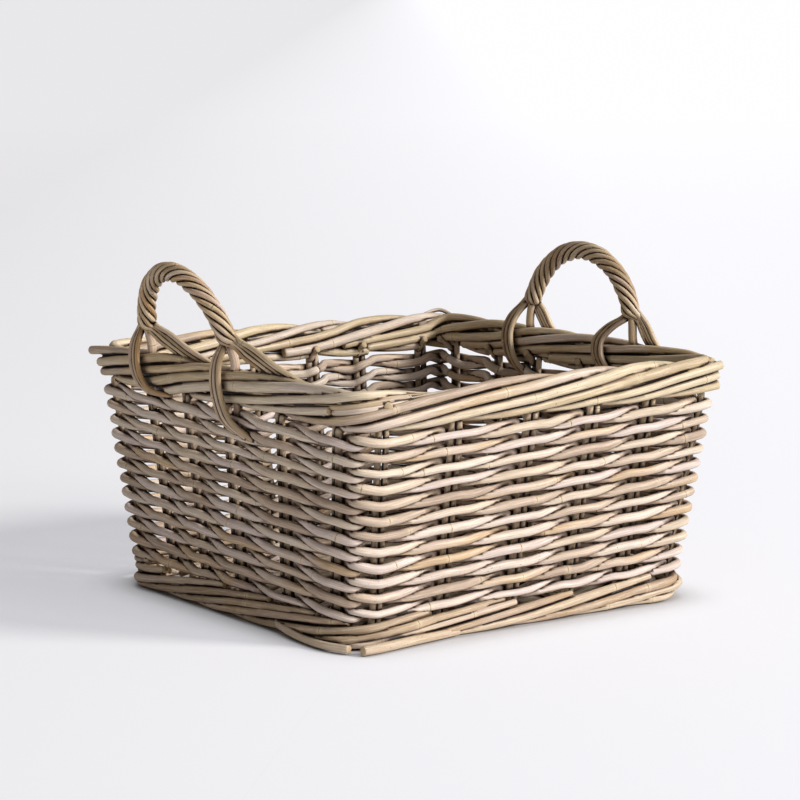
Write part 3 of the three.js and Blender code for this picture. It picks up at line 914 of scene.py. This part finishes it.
# Floor: rods woven over and under the front-back stakes, in the bays between the left-right ones
FLOOR_GAP = 0.6 * MM
FLOOR_PITCH = 2 * FLOOR_RADIUS + FLOOR_GAP
WALL_CLEAR = FLOOR_INSET + STAKE_RADIUS + FLOOR_RADIUS
STAKE_CLEAR = 2 * STAKE_RADIUS + FLOOR_RADIUS
FLOOR_END_SHARE = 0.035
FLOOR_STEP = 6 * MM


def bay_lines():
    """Lines across the floor that bound the bays: left end, right end and the room kept beside each."""
    width, depth = half_x(LOW_HEIGHT), half_y(LOW_HEIGHT) - WALL_CLEAR
    lines = []
    for index in range(STAKES_PER_WALL):
        left = wall_point(STAKE_PLACES[LEFT_LAST - index], LOW_HEIGHT, 0)
        right = wall_point(STAKE_PLACES[RIGHT_FIRST + index], LOW_HEIGHT, 0)
        lines.append((left, right, STAKE_CLEAR))
    left_x, right_x = CENTRE_X - width, CENTRE_X + width
    front = (np.array([left_x, -depth, 0]), np.array([right_x, -depth, 0]), 0.0)
    back = (np.array([left_x, depth, 0]), np.array([right_x, depth, 0]), 0.0)
    return [front] + lines + [back]


def floor_path(left, right, first_over):
    """A rod across the floor that passes over and under the front-back stakes by turns."""
    steps = [(FLOOR_END_SHARE, 0)]
    for index in range(STAKES_PER_WALL):
        front = wall_point(STAKE_PLACES[index], LOW_HEIGHT, 0)
        back = wall_point(STAKE_PLACES[BACK_LAST - index], LOW_HEIGHT, 0)
        reach = ((left[1] + right[1]) / 2 - front[1]) / (back[1] - front[1])
        share = (front[0] + (back[0] - front[0]) * reach - left[0]) / (right[0] - left[0])
        steps.append((share, 1 if (index % 2 == 0) == first_over else -1))
    steps.append((1 - FLOOR_END_SHARE, 0))
    points = []
    for share, level in steps:
        x, y = (left + (right - left) * share)[:2]
        points.append(np.array([x, y, LOWER_FLOOR + level * (STAKE_RADIUS + FLOOR_RADIUS)]))
    return points


def build_floor():
    bundle = RodBundle()
    lines = bay_lines()
    for near, far in zip(lines, lines[1:]):
        starts = [near[end][1] + near[2] for end in (0, 1)]
        rooms = [far[end][1] - far[2] - starts[end] for end in (0, 1)]
        passes = int(sum(rooms) / 2 / FLOOR_PITCH) + 1
        for number in range(passes):
            depths = [start + room * number / (passes - 1) for start, room in zip(starts, rooms)]
            left, right = [np.array([near[end][0], depths[end], 0]) for end in (0, 1)]
            bundle.add(smooth_path(floor_path(left, right, number % 2 == 0), FLOOR_STEP), FLOOR_RADIUS)
    piece = bundle.build("floor_weave", wall_material)
    settle(piece, "wall_rods", *[f"floor_rod_{i + 1}" for i in range(4)])


# Handles
STRAND_COUNT = 7
STRAND_GAP = 2 * math.pi / STRAND_COUNT
STRAND_TURNS = 2.443
ROPE_SHARE = (0.1, 0.9)
FRONT_TURN = math.radians(53.9)
LEG_SPREAD = 5 * MM
ARCH_LIFT = 1.4 * MM
CROWN_DEPTH = 1 * MM
ARCH_FOOT = 2 * MM
ARCH_POINTS = 15
TANGENT_STEP = 0.004
POINTS_PER_TURN = 12
STRAND_STEP = 2.6 * MM

# The core's leg inside the wall: millimetres outwards and up
CORE_LEG = [(0, 200), (1, 225), (3, 250)]

# Strands rank from 0 at the rope's front. The first ones sweep over the border, the rest loop round it.
SWEEP_COUNT = 4
LOOP_MIDDLE = (SWEEP_COUNT + STRAND_COUNT - 1) / 2
LOOP_GAP = 6.0


class Handle:
    """An arch read from its CAD core, with the strands that are wound round it."""

    def __init__(self, name, side):
        self.side = side
        low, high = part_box(f"{name}_core")
        self.middle = (low.y + high.y) / 2
        self.half_span = (high.y - low.y) / 2 - CORE_RADIUS + LEG_SPREAD
        self.top = high.z - CORE_RADIUS + ARCH_LIFT
        points = node_points(f"{name}_core")
        crown = points[points[:, 2] > high.z - CORE_RADIUS - CROWN_DEPTH]
        self.lean = abs(crown[:, 0].mean() - CENTRE_X) - half_x(self.top)
        self.foot = BORDER_HIGH + ARCH_FOOT

    def at(self, share):
        """The arch's centre line, from its foot on the -Y side to the other."""
        turn = math.pi * share
        rise = math.sin(turn)
        height = self.foot + (self.top - self.foot) * rise
        out = half_x(height) + self.lean * rise
        return np.array([CENTRE_X + self.side * out, self.middle - self.half_span * math.cos(turn), height])

    def frame(self, share):
        """The outward and the crossing direction of the arch at a share of its length."""
        tangent = unit(self.at(min(share + TANGENT_STEP, 1)) - self.at(max(share - TANGENT_STEP, 0)))
        out = np.array([self.side, 0.0, 0.0])
        out = unit(out - tangent * out.dot(tangent))
        return out, np.cross(tangent, out)

    def leg_point(self, end, along, offset, height):
        y = self.middle + end * self.half_span + along
        return np.array([CENTRE_X + self.side * (half_x(height) + offset), y, height])

    def core(self):
        points = [self.leg_point(-1, 0, offset * MM, height * MM) for offset, height in CORE_LEG]
        points += [self.at(share) for share in np.linspace(0.0, 1.0, ARCH_POINTS)]
        points += [self.leg_point(1, 0, offset * MM, height * MM) for offset, height in CORE_LEG[::-1]]
        return points

    def strand(self, number, loops, sweep):
        wound = CORE_RADIUS + STRAND_RADIUS
        front = (math.pi if self.side > 0 else 0) - FRONT_TURN
        start = STRAND_GAP * (number + 0.5) - front
        finish = start - 2 * math.pi * STRAND_TURNS
        low, high = ROPE_SHARE
        points = []
        for share in np.linspace(low, high, int(STRAND_TURNS * POINTS_PER_TURN)):
            out, across = self.frame(share)
            angle = start + (finish - start) * (share - low) / (high - low)
            points.append(self.at(share) + wound * (math.cos(angle) * out + math.sin(angle) * across))
        first = self.foot_path(-1, start + front, loops, sweep)
        return first[::-1] + points + self.foot_path(1, front - finish, loops, sweep)

    def foot_path(self, end, turn, loops, sweep):
        """The strand below the rope. Its turn counts from the middle of the ones that sweep."""
        rank = ((turn + math.pi / 2) % (2 * math.pi) - math.pi / 2) / STRAND_GAP + (SWEEP_COUNT - 1) / 2
        if rank < SWEEP_COUNT - 0.5:
            steps = [np.array(point) + np.array(step) * rank for point, step in sweep]
        else:
            shift = (rank - LOOP_MIDDLE) * LOOP_GAP
            steps = [(along + shift * spread, out, height) for along, out, height, spread in loops[end]]
        return [self.leg_point(end, *(size * MM for size in step)) for step in steps]


# Loops run from the rope's end down round the border, at the handle's two feet. Points are millimetres
# along +Y, outwards and up, and how much of the gap between two loops is kept there.
LEFT_LOOPS = {
    1: [
        (9, 6, 283, 0.7), (8, 15, 269, 0.9), (5, 20, 252, 1),
        (1, 20, 236, 1), (-12, 17, 222, 0.9), (-36, 5, 217, 0.5),
    ],
    -1: [
        (9, 6, 283, 0.7), (10, 15, 268, 0.9), (9, 20, 248, 1.1),
        (4, 21, 227, 1.2), (-5, 19, 208, 1.4), (-20, 5, 190, 1.6),
    ],
}
RIGHT_LOOPS = {
    1: [
        (9, -4, 283, 0.7), (15, -13, 270, 0.9), (16, -19, 254, 1),
        (11, -20, 236, 1), (2, -18, 221, 0.9), (-6, -8, 208, 0.6),
    ],
    -1: [
        (12, -4, 284, 0.7), (25, -12, 274, 0.9), (35, -18, 260, 1),
        (33, -20, 245, 1), (22, -18, 231, 0.8), (8, -7, 216, 0.5),
    ],
}

# Points of the lowest strand that sweeps over the border, with the step from each strand to the next
LEFT_SWEEP = [
    ((-9, 6, 283), (-2.3, -1.4, 1.8)), ((-26, 4, 273), (-4.5, -1.2, 3)),
    ((-42, 1, 266), (-10, -0.6, 1.2)), ((-58, -5, 254), (-17, -1.3, 0.4)),
]
RIGHT_SWEEP = [
    ((-3, 2, 283), (-1.6, 0.8, 1.4)), ((-7, 5, 273), (-2.4, 0.8, 2)), ((-10, 10, 262), (-3, 0.8, 1.2)),
    ((-14, 17, 249), (-3.6, 0.5, 0.5)), ((-18, 18, 234), (-4, 0, 0)), ((-22, 8, 222), (-4, 0, 0)),
]


def build_handle(name, side, loops, sweep):
    handle = Handle(name, side)
    bundle = RodBundle()
    bundle.add(smooth_path(handle.core()), CORE_RADIUS)
    for number in range(STRAND_COUNT):
        bundle.add(smooth_path(handle.strand(number, loops, sweep), STRAND_STEP), STRAND_RADIUS)
    piece = bundle.build(name, handle_material)
    settle(piece, "handle_rods", f"{name}_core", *[f"{name}_rod_{i + 1}" for i in range(4)])


# Stage: pale floor with painted light and a painted contact shadow, white surround, soft light from the
# right
AZIMUTH, ELEVATION = math.radians(-36.12), math.radians(8.507)
DISTANCE = 3.0253
TARGET_SIDE, TARGET_HEIGHT = -3.4 * MM, 204.1 * MM
LENS, SENSOR = 128.25, 36.0
GROUND_HALF = 90.0
LAMPS = [
    ("key", 3.35, 14, (1.9, -2.6, 1.9)),
    ("fill", 1.2, 22, (0.7, -2.6, 1.1)),
    ("side", 0.52, 9, (-2.6, -1.1, 0.06)),
]
LAMP_COLOUR = (1.0, 0.98, 0.955)


def look_at(item, position, target):
    item.location = position
    item.rotation_euler = (Vector(target) - Vector(position)).to_track_quat("-Z", "Y").to_euler()


def build_camera():
    level = math.cos(ELEVATION)
    back = Vector((math.sin(AZIMUTH) * level, -math.cos(AZIMUTH) * level, math.sin(ELEVATION)))
    target = Vector((
        CENTRE_X + TARGET_SIDE * math.cos(AZIMUTH), TARGET_SIDE * math.sin(AZIMUTH), TARGET_HEIGHT,
    ))
    data = bpy.data.cameras.new("camera")
    data.lens, data.sensor_width = LENS, SENSOR
    camera = placed("camera", data)
    look_at(camera, target + back * DISTANCE, target)
    bpy.context.scene.camera = camera


def build_ground():
    half = GROUND_HALF
    corners = [(-half, -half, 0), (half, -half, 0), (half, half, 0), (-half, half, 0)]
    mesh = bpy.data.meshes.new("floor")
    mesh.from_pydata(corners, [], [(0, 1, 2, 3)])
    floor = placed("floor", mesh)
    material = bpy.data.materials.new("floor_white")
    material.use_nodes = True
    make = Nodes(material.node_tree)
    shader = material.node_tree.nodes["Principled BSDF"]
    shader.inputs["Roughness"].default_value = 0.9
    shader.inputs["Specular IOR Level"].default_value = 0.0
    shader.inputs["Emission Color"].default_value = linear("#f3f4fb")
    seen = make.new("ShaderNodeLightPath").outputs["Is Camera Ray"]
    position = make.new("ShaderNodeNewGeometry").outputs["Position"]
    across = make.new("ShaderNodeVectorMath", operation="DOT_PRODUCT")
    make.put(across.inputs[0], position)
    across.inputs[1].default_value = (math.cos(AZIMUTH), math.sin(AZIMUTH), 0)
    # Painted light: the floor's glow seen by the camera rises towards the right and further off.
    glow = make.span(across.outputs["Value"], -1.1, 0.6, 0.44, 0.655)
    distance = make.new("ShaderNodeVectorMath", operation="LENGTH")
    make.put(distance.inputs[0], position)
    glow = make.math("ADD", glow, make.span(distance.outputs["Value"], 2.0, 10.0, 0.0, 0.055))
    # Painted contact shadow: the glow dims where the basket closes the floor in.
    near = make.new("ShaderNodeAmbientOcclusion", {"Distance": 60 * MM}, samples=8).outputs["AO"]
    glow = make.times(glow, make.span(near, 0.3, 0.95, 0.0, 1.0))
    make.put(shader.inputs["Base Color"], make.mix(seen, "#eff0f3", "#abaaab"))
    make.put(shader.inputs["Emission Strength"], make.times(seen, glow))
    mesh.materials.append(material)


def build_surround():
    world = bpy.data.worlds.new("surround")
    bpy.context.scene.world = world
    world.use_nodes = True
    make = Nodes(world.node_tree)
    background = world.node_tree.nodes["Background"]
    seen = make.new("ShaderNodeLightPath").outputs["Is Camera Ray"]
    make.put(background.inputs["Color"], make.mix(seen, "#f4f0ec", "#f9f9fb"))
    make.put(background.inputs["Strength"], make.span(seen, 0.0, 1.0, 0.23, 1.0))


def build_lamps():
    for name, energy, spread, position in LAMPS:
        sun = bpy.data.lights.new(name, "SUN")
        sun.energy, sun.angle, sun.color = energy, math.radians(spread), LAMP_COLOUR
        look_at(placed(name, sun), position, (0, 0, 0))


bpy.context.scene.view_settings.view_transform = "Standard"
build_camera()
build_ground()
build_surround()
build_lamps()
build_walls()
build_stakes()
build_border()
build_foot()
build_floor()
build_handle("left_handle", -1, LEFT_LOOPS, LEFT_SWEEP)
build_handle("right_handle", 1, RIGHT_LOOPS, RIGHT_SWEEP)
mark_painted_shade()
